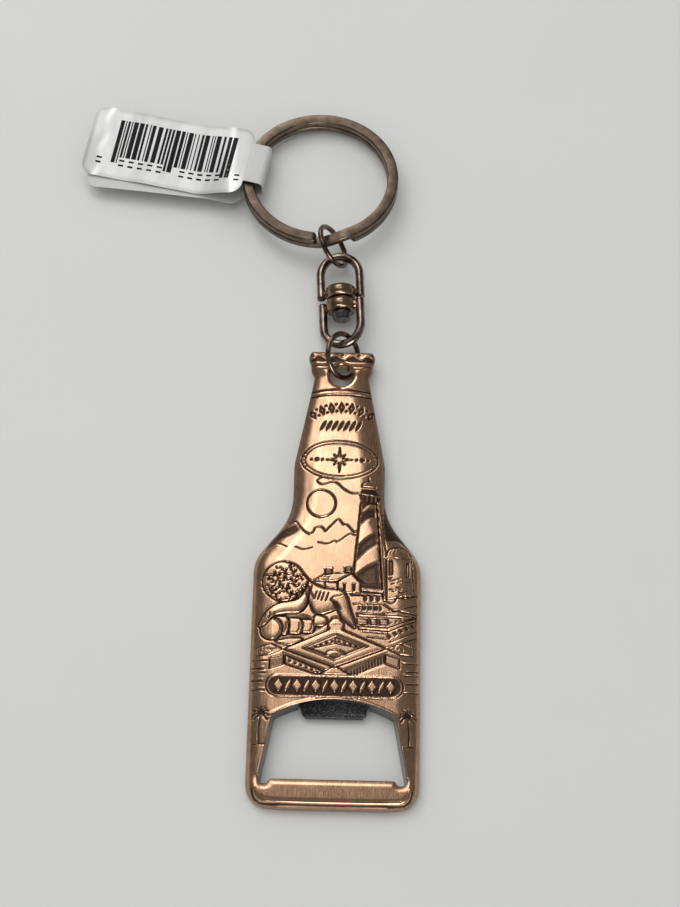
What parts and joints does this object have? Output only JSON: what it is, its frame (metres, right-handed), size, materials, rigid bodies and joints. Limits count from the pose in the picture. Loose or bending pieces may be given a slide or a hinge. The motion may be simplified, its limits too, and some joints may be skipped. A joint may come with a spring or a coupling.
{
  "type": "souvenir bottle opener",
  "caption": "Flat cast bottle-shaped opener with a crown-cap window and steel insert, on a swivel and split key ring with a folded film tag.",
  "frame": {"origin": "on the flat back of the bottle, in the middle of the body's solid part", "axes": "+Y towards the crown cap and the key ring, +Z out of the decorated front, +X to the right when the front is seen with the key ring up"},
  "size_m": [0.0707, 0.1448, 0.0094],
  "materials": {
    "antique_copper": "brushed antique copper plate over a zinc casting, dark in the grooves",
    "black_steel": "blackened steel",
    "dark_bronze": "glossy dark bronze plate on steel wire",
    "brassy_bronze": "glossy brassy bronze plate",
    "ring_bronze": "satin bronze plate on spring steel strip",
    "tag_film": "white film under a clear glossy layer"
  },
  "bodies": {
    "bottle": {"bottle_body": "antique_copper", "opener_insert": "black_steel"},
    "lower_link": {"lower_jump_ring": "dark_bronze"},
    "lower_swivel": {"lower_bail": "dark_bronze", "lower_collar": "brassy_bronze"},
    "upper_swivel": {"upper_collar": "brassy_bronze", "upper_bail": "dark_bronze", "swivel_pin": "black_steel"},
    "upper_link": {"upper_jump_ring": "dark_bronze"},
    "key_ring": {"split_ring": "ring_bronze"},
    "tag": {"price_tag": "tag_film"}
  },
  "joints": [
    {"name": "lower_link_turn", "type": "hinge", "parent": "bottle", "child": "lower_link", "pos_m": [0.00018, 0.05554, 0.00187], "axis": [-0.057, 0.9609, 0.271], "range_deg": [0, 75]},
    {"name": "lower_swivel_swing", "type": "hinge", "parent": "lower_link", "child": "lower_swivel", "pos_m": [0.00008, 0.05822, 0.0019], "axis": [1, 0, 0], "range_deg": [-10, 60]},
    {"name": "swivel_turn", "type": "hinge", "parent": "lower_swivel", "child": "upper_swivel", "pos_m": [-0.0005, 0.06765, 0.0019], "axis": [-0.061, 0.9981, 0], "continuous": true},
    {"name": "upper_link_swing", "type": "hinge", "parent": "upper_swivel", "child": "upper_link", "pos_m": [-0.00108, 0.07708, 0.0019], "axis": [1, 0, 0], "range_deg": [-22, 50]},
    {"name": "key_ring_swing", "type": "hinge", "parent": "upper_link", "child": "key_ring", "pos_m": [-0.00289, 0.08043, 0.00327], "axis": [0.9863, 0.1636, -0.0215], "range_deg": [-75, 75]},
    {"name": "tag_slide", "type": "hinge", "parent": "key_ring", "child": "tag", "pos_m": [-0.00535, 0.095, 0.00135], "axis": [0, 0.1305, 0.9914], "range_deg": [-180, 58]}
  ]
}
